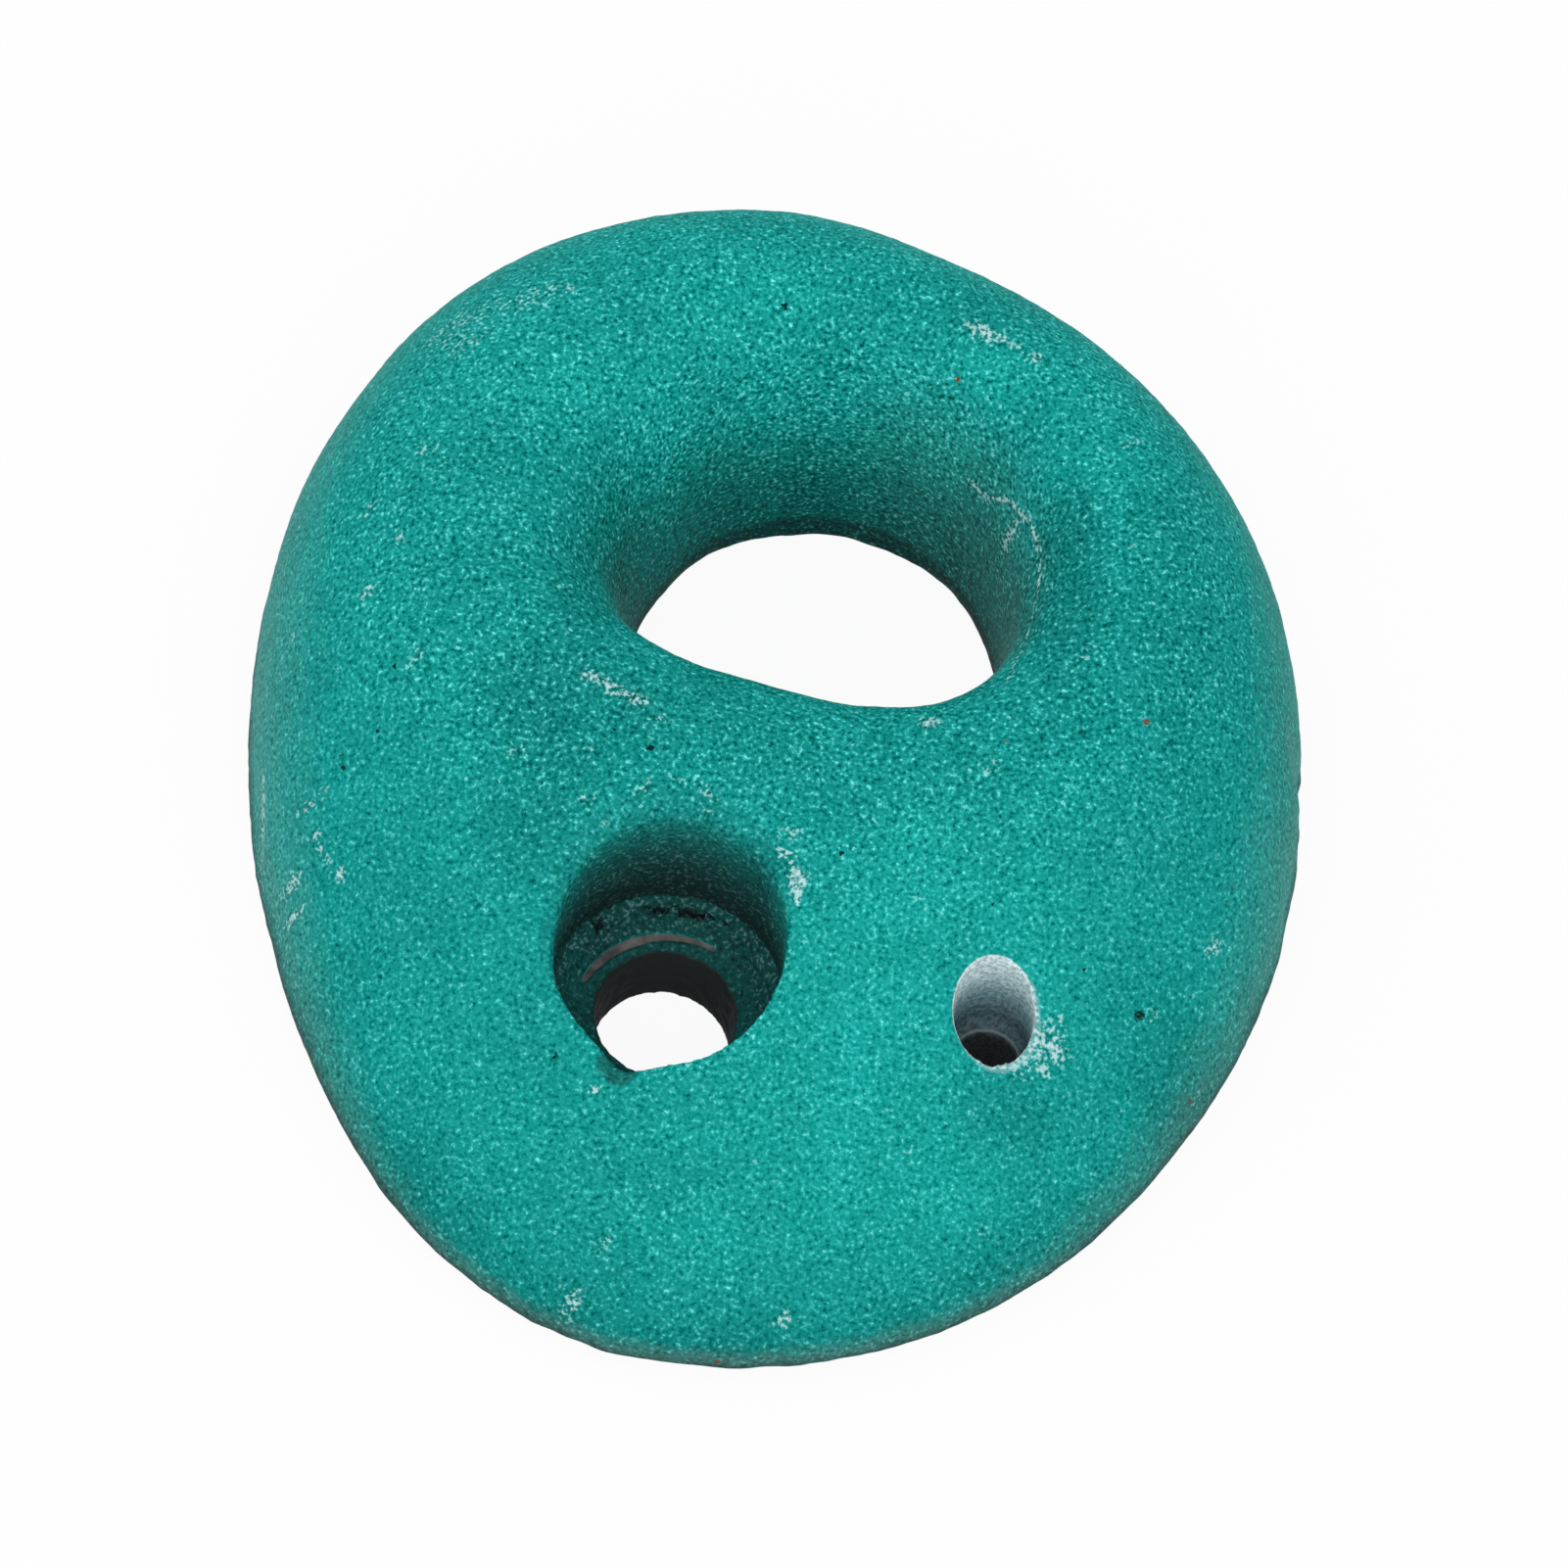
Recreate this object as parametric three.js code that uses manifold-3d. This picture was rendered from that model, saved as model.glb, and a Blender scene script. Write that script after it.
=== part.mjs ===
// Climbing hold: a rounded ring with a finger opening, cast in sand-filled resin.
// Millimetres. Z points out of the wall, Y up the wall, X to the right.
// The origin is on the bolt axis, in the plane of the flat back.

import * as THREE from 'three';
import { mergeVertices } from 'three/addons/utils/BufferGeometryUtils.js';
import Module from 'manifold-3d';

const wasm = await Module();
wasm.setup();

// Where the finger opening's axis stands from the bolt axis
const openingRight = 9.5;
const openingUp = 37.5;

// Driving sizes of the casting
const openingRadius = 17;
const outerReach = 68;
const crestHeight = 30;
const edgeBand = 2.4;
const backEdgeChamfer = 0.8;

// Bolt bore: the through hole, the resin under the washer, and the counterbore for the bolt head
const throughDiameter = 12;
const floorThickness = 4.2;
const counterboreDiameter = 19.8;

// Steel washer cast into the bore's floor, round a thin resin collar.
// A skin of resin covers its outer part and rises to a ledge at the counterbore's wall.
const castGap = 0.3;
const collarWall = 0.4;
const washerWidth = 4.3;
const washerThickness = 2;
const washerShowWidth = 1.2;
const skinThickness = 0.5;
const ledgeRise = 2.5;

// Set-screw hole
const screwRight = 27.5;
const screwUp = -1.3;
const screwHeadDiameter = 7.5;
const screwShankDiameter = 5.6;
const screwStepHeight = 7.8;

// A chip broken out of the counterbore's lower rim
const chipRadius = 1.6;
const chipLeft = 2.6;
const chipHeight = 13.2;

// How far the cutters run past the casting
const overrun = 5;

// Steps round the ring, along each half of the section, and round a bore
const ringSteps = 72;
const innerSteps = 11;
const outerSteps = 14;
const boreSides = 48;
const chipSides = 16;

const throughRadius = throughDiameter / 2;
const counterboreRadius = counterboreDiameter / 2;
const collarRadius = throughRadius + collarWall;
const washerInnerRadius = collarRadius + castGap;
const washerOuterRadius = washerInnerRadius + washerWidth;
const washerBottom = floorThickness + castGap;
const washerTop = washerBottom + washerThickness;

// Stations stand every thirty degrees round the opening, from +X towards +Y, the first at fifteen
const firstStation = Math.PI / 12;
// Opening radius at the back, as shares of openingRadius
const openingShares = [0.935, 0.965, 0.995, 1.005, 1.005, 1, 1, 0.825, 0.715, 0.755, 0.885, 0.95];
// Reach of the outer edge at the back, as shares of outerReach
const reachShares = [0.608, 0.566, 0.564, 0.627, 0.693, 0.721, 0.746, 0.844, 1, 0.944, 0.777, 0.668];
// Where the crest stands between the opening and the outer edge, as shares of that width
const crestPlaceShares = [0.355, 0.35, 0.35, 0.35, 0.36, 0.36, 0.34, 0.22, 0.14, 0.14, 0.2, 0.31];
// Crest height, as shares of crestHeight
const crestShares = [0.945, 0.97, 0.99, 1, 0.99, 0.965, 0.925, 0.87, 0.825, 0.815, 0.84, 0.905];
// Height of the straight part of the opening's wall, as shares of crestHeight
const wallShares = [0.41, 0.42, 0.42, 0.4, 0.3, 0.12, 0.08, 0.36, 0.6, 0.6, 0.48, 0.4];
// How full the outer side is between crest and edge, as shares of its width and height
const outerPullShares = [0.56, 0.56, 0.56, 0.56, 0.56, 0.56, 0.52, 0.35, 0.18, 0.23, 0.35, 0.53];
const innerPullShare = 0.6;

// Smooth value between the stations, which close on themselves
function stationValue(shares, angle) {
  const place = ((angle - firstStation) / (2 * Math.PI)) * shares.length;
  const index = Math.floor(place);
  const t = place - index;
  const at = (step) => shares[(index + step + 2 * shares.length) % shares.length];
  const [a, b, c, d] = [at(-1), at(0), at(1), at(2)];
  return 0.5 * (2 * b + (c - a) * t + (2 * a - 5 * b + 4 * c - d) * t * t
    + (3 * b - a - 3 * c + d) * t * t * t);
}

// One section of the ring, as points of radius and height
function sectionPoints(angle) {
  const inner = openingRadius * stationValue(openingShares, angle);
  const outer = outerReach * stationValue(reachShares, angle);
  const crest = inner + (outer - inner) * stationValue(crestPlaceShares, angle);
  const top = crestHeight * stationValue(crestShares, angle);
  const wall = crestHeight * stationValue(wallShares, angle);
  const pull = stationValue(outerPullShares, angle);
  const inside = new THREE.CubicBezierCurve(
    new THREE.Vector2(inner, wall),
    new THREE.Vector2(inner, wall + (top - wall) * innerPullShare),
    new THREE.Vector2(crest - (crest - inner) * innerPullShare, top),
    new THREE.Vector2(crest, top),
  );
  const outside = new THREE.CubicBezierCurve(
    new THREE.Vector2(crest, top),
    new THREE.Vector2(crest + (outer - crest) * pull, top),
    new THREE.Vector2(outer, edgeBand + (top - edgeBand) * pull),
    new THREE.Vector2(outer, edgeBand),
  );
  return [
    new THREE.Vector2(inner + backEdgeChamfer, 0),
    new THREE.Vector2(inner, backEdgeChamfer),
    ...inside.getPoints(innerSteps),
    ...outside.getPoints(outerSteps).slice(1),
    new THREE.Vector2(outer, backEdgeChamfer),
    new THREE.Vector2(outer - backEdgeChamfer, 0),
  ];
}

// The ring: sections set round the opening's axis and joined into one closed skin
function ringGeometry() {
  const positions = [];
  const indices = [];
  let count = 0;
  for (let i = 0; i < ringSteps; i += 1) {
    const angle = (i / ringSteps) * 2 * Math.PI;
    const section = sectionPoints(angle);
    count = section.length;
    for (const point of section) {
      positions.push(
        openingRight + point.x * Math.cos(angle),
        openingUp + point.x * Math.sin(angle),
        point.y,
      );
    }
  }
  for (let i = 0; i < ringSteps; i += 1) {
    const here = i * count;
    const next = ((i + 1) % ringSteps) * count;
    for (let j = 0; j < count; j += 1) {
      const k = (j + 1) % count;
      indices.push(here + j, here + k, next + j);
      indices.push(next + j, here + k, next + k);
    }
  }
  const geometry = new THREE.BufferGeometry();
  geometry.setAttribute('position', new THREE.Float32BufferAttribute(positions, 3));
  geometry.setIndex(indices);
  return geometry;
}

// A turned solid about Z: pairs of radius and height, from the axis back to the axis
function turned(pairs, sides) {
  const points = pairs.map(([radius, height]) => new THREE.Vector2(radius, height));
  return new THREE.LatheGeometry(points, sides).rotateX(Math.PI / 2);
}

function toSolid(geometry) {
  const bare = geometry.clone();
  bare.deleteAttribute('normal');
  bare.deleteAttribute('uv');
  const merged = mergeVertices(bare);
  return new wasm.Manifold(new wasm.Mesh({
    numProp: 3,
    vertProperties: new Float32Array(merged.attributes.position.array),
    triVerts: new Uint32Array(merged.index.array),
  }));
}

function toGeometry(solid) {
  const mesh = solid.getMesh();
  const geometry = new THREE.BufferGeometry();
  geometry.setAttribute('position', new THREE.BufferAttribute(new Float32Array(mesh.vertProperties), 3));
  geometry.setIndex(new THREE.BufferAttribute(new Uint32Array(mesh.triVerts), 1));
  geometry.computeVertexNormals();
  return geometry;
}

// The bolt bore as one turned cutter, with the washer's pocket in it
function boltBore() {
  const pocketRadius = washerOuterRadius + castGap;
  const skinEdge = washerInnerRadius + washerShowWidth;
  const skinBottom = washerTop + castGap;
  return turned([
    [0, -overrun],
    [throughRadius, -overrun],
    [throughRadius, washerTop],
    [collarRadius, washerTop],
    [collarRadius, floorThickness],
    [pocketRadius, floorThickness],
    [pocketRadius, skinBottom],
    [skinEdge, skinBottom],
    [skinEdge, skinBottom + skinThickness],
    [counterboreRadius, washerTop + ledgeRise],
    [counterboreRadius, crestHeight + overrun],
    [0, crestHeight + overrun],
  ], boreSides);
}

function screwHole() {
  const head = screwHeadDiameter / 2;
  const shank = screwShankDiameter / 2;
  return turned([
    [0, -overrun],
    [shank, -overrun],
    [shank, screwStepHeight],
    [head, screwStepHeight],
    [head, crestHeight + overrun],
    [0, crestHeight + overrun],
  ], boreSides).translate(screwRight, screwUp, 0);
}

function rimChip() {
  const down = Math.sqrt(counterboreRadius * counterboreRadius - chipLeft * chipLeft);
  return new THREE.SphereGeometry(chipRadius, chipSides, chipSides / 2)
    .translate(-chipLeft, -down, chipHeight);
}

function holdBody() {
  const cutters = [boltBore(), screwHole(), rimChip()];
  const ring = toSolid(ringGeometry());
  return toGeometry(cutters.reduce((body, cutter) => body.subtract(toSolid(cutter)), ring));
}

function boltWasher() {
  return turned([
    [washerInnerRadius, washerBottom],
    [washerOuterRadius, washerBottom],
    [washerOuterRadius, washerTop],
    [washerInnerRadius, washerTop],
    [washerInnerRadius, washerBottom],
  ], boreSides);
}

const resin = new THREE.MeshStandardMaterial({ color: 0x0a8a7f, roughness: 0.85, metalness: 0 });
const steel = new THREE.MeshStandardMaterial({ color: 0x6b5b57, roughness: 0.6, metalness: 0.8 });

function named(name, geometry, material) {
  const mesh = new THREE.Mesh(geometry, material);
  mesh.name = name;
  return mesh;
}

const hold = new THREE.Group();
hold.add(named('hold_body', holdBody(), resin));
hold.add(named('bolt_washer', boltWasher(), steel));

export default hold;
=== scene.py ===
# %% [markdown]
# # A sand-cast climbing hold
# The real hold is one casting: teal resin filled with fine sand, poured into a soft rubber mould
# over a steel washer. It has no moving parts, so the looks rest on three things: the swelling
# ring shape, the sandy grain, and the marks that bolts, chalk and drills have left on it.
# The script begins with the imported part, which fixes every size and place. The pieces made here
# are put on top of it, in metres, with the bolt axis along Z.

import math

import bmesh
import bpy
from mathutils import Matrix, Vector, noise


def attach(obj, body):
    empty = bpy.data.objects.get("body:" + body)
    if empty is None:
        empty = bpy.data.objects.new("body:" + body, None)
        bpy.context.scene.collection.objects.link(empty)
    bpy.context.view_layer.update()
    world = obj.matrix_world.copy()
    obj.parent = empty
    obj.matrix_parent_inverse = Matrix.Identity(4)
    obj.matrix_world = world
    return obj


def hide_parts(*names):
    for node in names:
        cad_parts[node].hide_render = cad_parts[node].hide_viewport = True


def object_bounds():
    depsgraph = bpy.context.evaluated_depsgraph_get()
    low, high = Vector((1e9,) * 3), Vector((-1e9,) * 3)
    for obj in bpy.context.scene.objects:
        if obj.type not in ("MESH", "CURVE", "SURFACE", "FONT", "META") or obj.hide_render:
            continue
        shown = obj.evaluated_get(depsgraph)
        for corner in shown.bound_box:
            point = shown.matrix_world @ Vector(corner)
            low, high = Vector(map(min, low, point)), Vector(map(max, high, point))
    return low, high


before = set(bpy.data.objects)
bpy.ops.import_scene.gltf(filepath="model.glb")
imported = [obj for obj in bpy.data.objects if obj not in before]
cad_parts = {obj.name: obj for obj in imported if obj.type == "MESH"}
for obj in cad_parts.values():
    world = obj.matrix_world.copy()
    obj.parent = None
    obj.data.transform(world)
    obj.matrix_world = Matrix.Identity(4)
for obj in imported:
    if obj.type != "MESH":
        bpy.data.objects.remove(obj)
MM = 0.001
cad_low, cad_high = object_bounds()
print("CAD box in mm:", [round(c / MM, 1) for c in (*cad_low, *cad_high)])

# %% [markdown]
# ## The camera
# The picture was taken with a long lens, from a steep angle above the hold's lower side, and it
# leans a little. A camera could be aimed with a Track To constraint, but three directions
# (right, up and forward) written as the columns of a matrix give the lean as well, and stay put.

# %% Place the camera
PICTURE_SIDE = 1601
FOCAL_PIXELS = 7080
SENSOR = 36
look_down = math.radians(59)
lean = math.radians(7)
camera_distance = 600 * MM
aim = Vector((7.7, 20.9, 12)) * MM

forward = Vector((0, math.cos(look_down), -math.sin(look_down)))
level = Vector((1, 0, 0))
steep = Vector((0, math.sin(look_down), math.cos(look_down)))
right = level * math.cos(lean) + steep * math.sin(lean)
upward = steep * math.cos(lean) - level * math.sin(lean)

lens = bpy.data.cameras.new("long_lens")
lens.sensor_width = SENSOR
lens.lens = FOCAL_PIXELS / PICTURE_SIDE * SENSOR
lens.clip_start = 0.01
lens.clip_end = 50
camera = bpy.data.objects.new("camera", lens)
bpy.context.scene.collection.objects.link(camera)
turn = Matrix((right, upward, -forward)).transposed().to_4x4()
camera.matrix_world = Matrix.Translation(aim - forward * camera_distance) @ turn
bpy.context.scene.camera = camera
print("camera at", [round(c, 3) for c in camera.location], "with a lens of", round(lens.lens, 1))

# %% [markdown]
# ## Helpers
# A few small helpers keep the cells short: one turns a bmesh into an object, one fixes an
# object's modifiers into its mesh, one cuts with the Boolean modifier, and one turns a profile
# about an upright axis. Spinning a profile is the usual way to make anything that came off a
# drill or a lathe.

# %% Make, fix, cut and turn
scene = bpy.context.scene


def make_object(name, shape):
    mesh = bpy.data.meshes.new(name)
    shape.to_mesh(mesh)
    shape.free()
    made = bpy.data.objects.new(name, mesh)
    scene.collection.objects.link(made)
    return made


def fix_modifiers(piece):
    evaluated = piece.evaluated_get(bpy.context.evaluated_depsgraph_get())
    fixed = bpy.data.meshes.new_from_object(evaluated)
    piece.modifiers.clear()
    piece.data = fixed


def cut(piece, tool):
    step = piece.modifiers.new("cut", "BOOLEAN")
    step.object = tool
    step.operation = "DIFFERENCE"
    step.solver = "EXACT"
    fix_modifiers(piece)
    bpy.data.objects.remove(tool)


def turned(name, profile, steps=96):
    """Spins pairs of radius and height, in mm, about the bolt axis. The profile begins and ends
    on the axis."""
    shape = bmesh.new()
    points = [shape.verts.new(Vector((r, 0, z)) * MM) for r, z in profile]
    edges = [shape.edges.new(pair) for pair in zip(points, points[1:])]
    bmesh.ops.spin(
        shape, geom=points + edges, cent=(0, 0, 0), axis=(0, 0, 1), dvec=(0, 0, 0),
        angle=math.tau, steps=steps, use_merge=True, use_duplicate=False,
    )
    bmesh.ops.remove_doubles(shape, verts=shape.verts, dist=0.001 * MM)
    bmesh.ops.recalc_face_normals(shape, faces=shape.faces)
    return make_object(name, shape)


# %% [markdown]
# ## The blank: the casting without its holes
# The casting could be sculpted or built from a subdivided cage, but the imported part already
# holds the measured ring, so a copy of it is the honest start. Its flat facets are too coarse
# for a close look, and the holes' crisp edges would be lost by smoothing. So the walls of the
# holes are taken out first, the openings are filled, and only then is the skin remeshed into
# small even squares and smoothed. The holes are cut again afterwards.

# %% Copy the casting and take out its holes
bolt_axis = Vector((0, 0, 0))
screw_axis = Vector((27.5, -1.3, 0)) * MM
chip_centre = Vector((-2.6, -9.55, 13.2)) * MM
chip_radius = 1.6 * MM
COUNTERBORE = 9.9 * MM
SCREW_HEAD = 3.75 * MM
SLACK = 0.03 * MM


def off_axis(point, axis):
    return (point.xy - axis.xy).length


def on_a_hole(vert):
    return (
        off_axis(vert.co, bolt_axis) < COUNTERBORE + SLACK
        or off_axis(vert.co, screw_axis) < SCREW_HEAD + SLACK
        or (vert.co - chip_centre).length < chip_radius + SLACK
    )


blank_shape = bmesh.new()
blank_shape.from_mesh(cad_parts["hold_body"].data)
bmesh.ops.remove_doubles(blank_shape, verts=blank_shape.verts, dist=0.001 * MM)
walls = [f for f in blank_shape.faces if all(on_a_hole(v) for v in f.verts)]
bmesh.ops.delete(blank_shape, geom=walls, context="FACES")
rims = [edge for edge in blank_shape.edges if edge.is_boundary]
filled = bmesh.ops.holes_fill(blank_shape, edges=rims)
bmesh.ops.triangulate(blank_shape, faces=filled["faces"])
bmesh.ops.recalc_face_normals(blank_shape, faces=blank_shape.faces)
print("took out", len(walls), "wall faces, filled", len(filled["faces"]), "openings")

# %% [markdown]
# ## Fairing the skin
# The real skin is smooth under its grain. A subdivision surface would shrink away from the
# measured ring, so a voxel remesh gives the blank small even squares, which are then smoothed.
# Smoothing rounds the back's two edges again, so they are moved out of their chamfers first.

# %% Square the back's two edges
opening_axis = Vector((9.5, 37.5, 0)) * MM
SQUARED = 0.65 * MM
# Inside these radii the two bores are left alone
BOLT_CLEAR = 8 * MM
SCREW_CLEAR = 5 * MM
# Nearer to the opening's axis than this, an edge is the opening's own and moves inwards
HALF_WAY = 25 * MM


def on_a_back_edge(vert):
    return (
        vert.co.z < SLACK
        and off_axis(vert.co, bolt_axis) > BOLT_CLEAR
        and off_axis(vert.co, screw_axis) > SCREW_CLEAR
    )


for vert in blank_shape.verts:
    if on_a_back_edge(vert):
        from_opening = off_axis(vert.co, opening_axis)
        outward = (vert.co - opening_axis) / from_opening
        vert.co += outward * SQUARED * (1 if from_opening > HALF_WAY else -1)
casting = make_object("cast_body", blank_shape)

# %% Remesh the blank and fair its skin
FAIR_VOXEL = 0.8 * MM
FAIR_PASSES = 10
EDGE_PASSES = 6
EDGE_BAND_TOP = 3.2 * MM


def remesh(piece, size):
    step = piece.modifiers.new("remesh", "REMESH")
    step.mode = "VOXEL"
    step.voxel_size = size
    step.use_smooth_shade = True
    fix_modifiers(piece)


def smooth(shape, verts, passes):
    for _ in range(passes):
        bmesh.ops.smooth_vert(
            shape, verts=verts, factor=0.5, use_axis_x=True, use_axis_y=True, use_axis_z=True,
        )


remesh(casting, FAIR_VOXEL)
skin = bmesh.new()
skin.from_mesh(casting.data)
smooth(skin, [v for v in skin.verts if v.co.z > EDGE_BAND_TOP], FAIR_PASSES)
smooth(skin, [v for v in skin.verts if v.co.z <= EDGE_BAND_TOP], EDGE_PASSES)
skin.to_mesh(casting.data)
skin.free()
print("blank:", len(casting.data.polygons), "faces")

# %% [markdown]
# ## The bolt bore
# On the real hold the mould leaves a counterbore for the bolt's head and a through hole for its
# shank. Both come from one turned cutter. The counterbore isn't quite round: its lower half is
# tighter, and the hole's back end has wandered a little. Moving the cutter's points by a rule
# gives that unevenness and keeps the measured radii where they are true.

# %% Cut the bolt bore
bore_profile = [
    (0, -5), (5.73, -5), (6.05, 6.25), (6.25, 6.55), (6.9, 6.65), (7.9, 7.15),
    (8.85, 8.2), (9.0, 8.85), (9.7, 9.05), (9.95, 9.35), (9.95, 40), (0, 40),
]
# The counterbore's wall stands beyond this radius. Its lower half comes in by so many mm, and
# is turned by so many degrees
WALL_FROM = 9.5
TIGHTEST = 0.8
TIGHT_TURN = 20
TIGHT_CURVE = 0.7
# At the chip the wall keeps its radius: where, and how widely, in degrees
CHIP_AT = -106
CHIP_SPREAD = 16
# How far the back end has wandered
WANDER = Vector((-0.18, -0.72, 0))


def move_points(piece, rule):
    """Moves every point by a rule that takes and gives millimetres."""
    for vert in piece.data.vertices:
        vert.co = rule(vert.co / MM) * MM


def uneven_bore(p):
    if p.z < 0 and p.xy.length > 1:
        return p + WANDER
    if p.xy.length < WALL_FROM:
        return p
    degrees = math.degrees(math.atan2(p.y, p.x))
    lower_half = max(0, -math.sin(math.radians(degrees - TIGHT_TURN))) ** TIGHT_CURVE
    at_chip = math.exp(-(((degrees - CHIP_AT) / CHIP_SPREAD) ** 2))
    tight = 1 - TIGHTEST * lower_half * (1 - at_chip) / p.xy.length
    return Vector((p.x * tight, p.y * tight, p.z))


bore_cutter = turned("bore_cutter", bore_profile)
move_points(bore_cutter, uneven_bore)
cut(casting, bore_cutter)

# %% [markdown]
# ## The screw hole and the chip
# The set-screw hole was drilled after casting: a wide bore for the head, then a step down to
# the shank. The drill went in upright through a slope and has left the mouth a little long. The
# chip at the counterbore's lower rim is a shallow dent. A ball that only grazes the rim cuts
# it in one step, where pushing single points would leave the mesh uneven.

# %% Cut the screw hole and the chip
screw_profile = [(0, -5), (2.8, -5), (2.8, 7.6), (3.0, 7.8), (3.48, 7.8), (3.48, 40), (0, 40)]
# The head's bore stands beyond this radius, and its mouth is this much longer than wide
HEAD_FROM = 3.3
MOUTH_STRETCH = 1.17
drill_axis = screw_axis + Vector((0.14, -0.08, 0)) * MM


def stretched_mouth(p):
    is_head = p.xy.length > HEAD_FROM
    return Vector((p.x, p.y * (MOUTH_STRETCH if is_head else 1), p.z)) + drill_axis / MM


screw_cutter = turned("screw_cutter", screw_profile, steps=64)
move_points(screw_cutter, stretched_mouth)
cut(casting, screw_cutter)


def bite(name, centre, radius):
    shape = bmesh.new()
    place = Matrix.Translation(centre)
    bmesh.ops.create_icosphere(shape, subdivisions=3, radius=radius, matrix=place)
    return make_object(name, shape)


dent_centre = Vector((-3.3, -10.0, 15.2)) * MM
dent_radius = 1.95 * MM
cut(casting, bite("dent_cutter", dent_centre, dent_radius))
print("with holes:", len(casting.data.polygons), "faces")

# %% [markdown]
# ## Soft rims
# A rim that came out of a rubber mould is rounded, and most so on the counterbore's far side. A
# Bevel modifier would need clean edges to follow. On an even mesh, smoothing only the points
# near a rim rounds it, as a thumb does with clay: the first pass takes in a wide band, and each
# pass after it a narrower one.

# %% Remesh finely
FINE_VOXEL = 0.3 * MM
FINE_PASSES = 3
remesh(casting, FINE_VOXEL)
skin = bmesh.new()
skin.from_mesh(casting.data)
skin.verts.ensure_lookup_table()
smooth(skin, skin.verts, FINE_PASSES)
print("fine skin:", len(skin.faces), "faces")

# %% Find the counterbore's rim
NEAR_BORE = 13 * MM
ABOVE_LEDGE = 9.6 * MM
RIM_BAND = 0.5 * MM
SECTORS = 90
near_bore = [
    vert for vert in skin.verts
    if off_axis(vert.co, bolt_axis) < NEAR_BORE and vert.co.z > ABOVE_LEDGE
]


def sector_of(point):
    return int((math.atan2(point.y, point.x) / (2 * math.pi) + 1) * SECTORS) % SECTORS


rim_height = [0.0] * SECTORS
for vert in near_bore:
    if abs(off_axis(vert.co, bolt_axis) - COUNTERBORE) < RIM_BAND:
        where = sector_of(vert.co)
        rim_height[where] = max(rim_height[where], vert.co.z)
print("rim from", round(min(rim_height) / MM, 1), "to", round(max(rim_height) / MM, 1), "mm high")

# %% Round the counterbore's rim
ROUND_STEPS = 30
# How far the rounding reaches on the near side, and how much further on the far side
LEAST_REACH = 0.5
FAR_REACH = 2.9
FAR_TURN = 18


def far_side(point):
    """1 on the bore's far side, which is turned a little to the left, and 0 on its near side."""
    angle = math.atan2(point.y, point.x) - math.radians(FAR_TURN)
    return (0.5 + 0.5 * math.sin(angle)) ** 2


for step in range(ROUND_STEPS):
    chosen = []
    for vert in near_bore:
        beyond = off_axis(vert.co, bolt_axis) - COUNTERBORE
        above = vert.co.z - rim_height[sector_of(vert.co)]
        reach = (LEAST_REACH + FAR_REACH * far_side(vert.co)) * MM
        if Vector((beyond, above)).length < reach * (1 - step / ROUND_STEPS):
            chosen.append(vert)
    smooth(skin, chosen, 1)
print("rounded the rim in", ROUND_STEPS, "passes")

# %% [markdown]
# ## A hand-shaped outline
# The master for the mould was carved by hand, so the ring is a little fuller here and flatter
# there, and the foot of the opening's far wall leans in. Tables of small pushes, read by the
# angle round the opening, give that outline. It could be sculpted as well, but numbers in a
# table can be measured and put right one by one.

# %% How far the sides are pushed
# Pushes in mm by the angle round the opening: of the outer side away from it, of its wall
# towards it, and of its far wall's lowest part, which leans in
outer_push = [
    (-180, 0.2), (-156, 0.05), (-144, 0), (-131, 0.45), (-120, 0.15), (-110, -0.3), (-99, 0.2),
    (-79, 0.25), (-69, 0.1), (-58, 0.45), (-47, 0.8), (-30, 0.5), (-12, 0.2), (6, 0.05), (20, 0.25),
    (45, 0.2), (60, -0.1), (80, -0.35), (101, -0.1), (125, -0.05), (148, 0.3), (165, 0.2), (180, 0.2),
]
inner_push = [
    (-180, 0.2), (-150, 0.5), (-122, 0.6), (-105, 0), (-90, -0.3), (-75, -0.3), (-60, 0.1), (-45, 0.1),
    (-30, 0), (10, -0.1), (30, 0.1), (130, 0.1), (150, 0.4), (165, 0.2), (180, 0.2),
]
lip_push = [(-180, 0), (50, 0), (75, 0.5), (105, 0.5), (125, 0.15), (140, 0), (180, 0)]
LIP_TOP = 3
# The sides that face left and right lean back: by how much, from which height, over how many mm
SIDE_LEAN = 0.35
LEAN_FROM = 1.5
LEAN_RISE = 3.5
# The pushes fade out on skin that lies flat, and round the two bores
STEEP_BAND = 0.3
BOLT_STILL = 11
SCREW_STILL = 5
FADE = 3

# %% Push the outer side and the opening's wall
opening_centre = (opening_axis / MM).xy


def between(value, pairs):
    """Reads a value off a line drawn through pairs."""
    for (a, low), (b, high) in zip(pairs, pairs[1:]):
        if value < b:
            return low + (high - low) * max(0, (value - a) / (b - a))
    return pairs[-1][1]


def soft_step(value):
    value = max(0, min(1, value))
    return value * value * (3 - 2 * value)


def faces_out(p, normal):
    return (p.xy - opening_centre).dot(normal.xy) > 0


def faces_aside(normal):
    """1 where the skin faces left or right, 0 where it faces up or down the wall."""
    return abs(normal.x) / max(0.01, normal.xy.length)


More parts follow.
